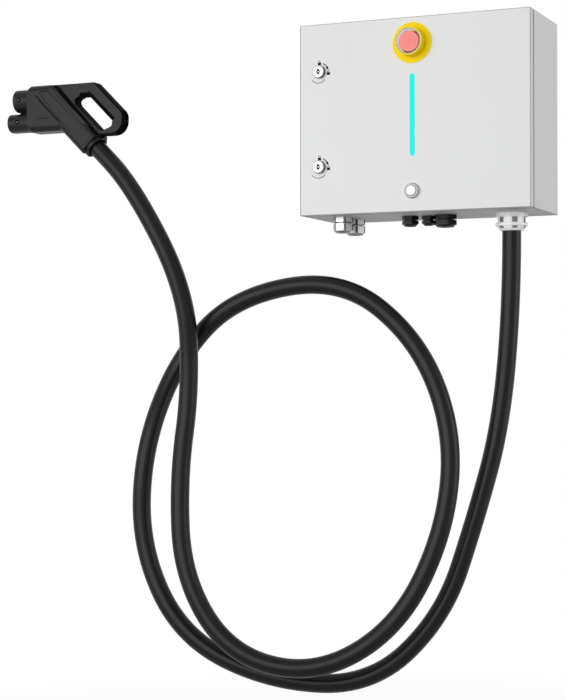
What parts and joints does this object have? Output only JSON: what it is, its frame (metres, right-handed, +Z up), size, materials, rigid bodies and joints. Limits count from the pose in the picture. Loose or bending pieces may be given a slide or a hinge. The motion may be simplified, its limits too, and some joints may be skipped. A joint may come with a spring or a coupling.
{
  "type": "vehicle-to-vehicle charger",
  "caption": "Wall-hung direct-current charger: locked steel enclosure with emergency stop, light bar and button, cable glands below, and a long cable to a hand connector.",
  "frame": {"origin": "centre of the four wall bolt holes, on the rear face of the enclosure", "axes": "+X to the right seen from the front, +Y into the wall, +Z up; the door faces -Y"},
  "size_m": [1.1835, 0.3563, 1.3873],
  "materials": {
    "painted_steel": "fine textured powder coat",
    "zinc_steel": "zinc plated",
    "lock_chrome": "polished die casting",
    "gasket_foam": "matt foam",
    "yellow_plastic": "gloss",
    "clear_plastic": "clear gloss",
    "red_plastic": "soft gloss",
    "device_black": "satin",
    "device_chrome": "polished",
    "button_lens": "frosted",
    "light_lens": "frosted, lit",
    "circuit_board": "solder mask",
    "nickel_brass": "nickel plated brass",
    "gland_white": "satin polyamide",
    "gland_black": "satin polyamide",
    "seal_rubber": "matt",
    "cable_sheath": "satin sheath",
    "connector_black": "fine grain",
    "converter_case": "anodised",
    "contactor_case": "satin",
    "fuse_ceramic": "glazed",
    "copper": "tinned or bare copper",
    "terminal_grey": "satin"
  },
  "bodies": {
    "enclosure": {"black_gland_bodies": "gland_black", "black_gland_caps": "gland_black", "black_gland_locknuts": "gland_black", "busbars": "copper", "connector_contacts": "copper", "connector_core": "connector_black", "connector_grommet": "seal_rubber", "connector_power_nose": "connector_black", "connector_screws": "zinc_steel", "connector_shell_left": "connector_black", "connector_shell_right": "connector_black", "connector_signal_nose": "connector_black", "control_board": "circuit_board", "dc_cable": "cable_sheath", "dc_cable_tail": "cable_sheath", "dc_contactors": "contactor_case", "dc_converter": "converter_case", "dc_fuse": "fuse_ceramic", "dc_gland_body": "gland_white", "dc_gland_cap": "gland_white", "dc_gland_locknut": "gland_white", "dc_leads": "cable_sheath", "din_rail": "zinc_steel", "enclosure_body": "painted_steel", "gland_seals": "seal_rubber", "hinge_arm_lower": "zinc_steel", "hinge_arm_upper": "zinc_steel", "hinge_pins": "zinc_steel", "inner_fasteners": "zinc_steel", "metal_gland_bodies": "nickel_brass", "metal_gland_caps": "nickel_brass", "metal_gland_locknuts": "nickel_brass", "mounting_plate": "zinc_steel", "terminal_blocks": "terminal_grey"},
    "door": {"door_panel": "painted_steel", "door_gasket": "gasket_foam", "hinge_leaf_upper": "zinc_steel", "hinge_leaf_lower": "zinc_steel", "lock_housing_upper": "lock_chrome", "lock_housing_lower": "lock_chrome", "lock_nuts": "zinc_steel", "estop_legend_plate": "yellow_plastic", "estop_collar": "yellow_plastic", "estop_trim_ring": "clear_plastic", "estop_body": "device_black", "estop_nut": "device_black", "estop_contact_block": "device_black", "light_bar_lens": "light_lens", "light_bar_housing": "device_black", "light_bar_board": "circuit_board", "button_bezel": "device_chrome", "button_nut": "device_black", "button_contact_block": "device_black"},
    "upper_lock": {"lock_core_upper": "lock_chrome", "lock_cam_upper": "zinc_steel"},
    "lower_lock": {"lock_core_lower": "lock_chrome", "lock_cam_lower": "zinc_steel"},
    "stop_plunger": {"estop_plunger": "device_black"},
    "stop_head": {"estop_head": "red_plastic"},
    "push_button": {"button_cap": "button_lens"}
  },
  "joints": [
    {"name": "door_swing", "type": "hinge", "parent": "enclosure", "child": "door", "pos_m": [0.245, -0.19, 0], "axis": [0, 0, 1], "range_deg": [0, 110]},
    {"name": "upper_lock_turn", "type": "hinge", "parent": "door", "child": "upper_lock", "pos_m": [-0.205, -0.19, 0.0995], "axis": [0, 1, 0], "range_deg": [0, 90]},
    {"name": "lower_lock_turn", "type": "hinge", "parent": "door", "child": "lower_lock", "pos_m": [-0.205, -0.19, -0.0995], "axis": [0, 1, 0], "range_deg": [0, 90]},
    {"name": "stop_press", "type": "slide", "parent": "door", "child": "stop_plunger", "axis": [0, 1, 0], "range_m": [0, 0.004], "stiffness_N_per_m": 1500, "springref_m": -0.004},
    {"name": "stop_twist", "type": "hinge", "parent": "stop_plunger", "child": "stop_head", "pos_m": [0, -0.215, 0.146], "axis": [0, 1, 0], "range_deg": [0, 45], "stiffness_Nm_per_rad": 0.05, "springref_deg": -11.46},
    {"name": "button_press", "type": "slide", "parent": "door", "child": "push_button", "axis": [0, 1, 0], "range_m": [0, 0.0025], "stiffness_N_per_m": 900, "springref_m": -0.002}
  ]
}
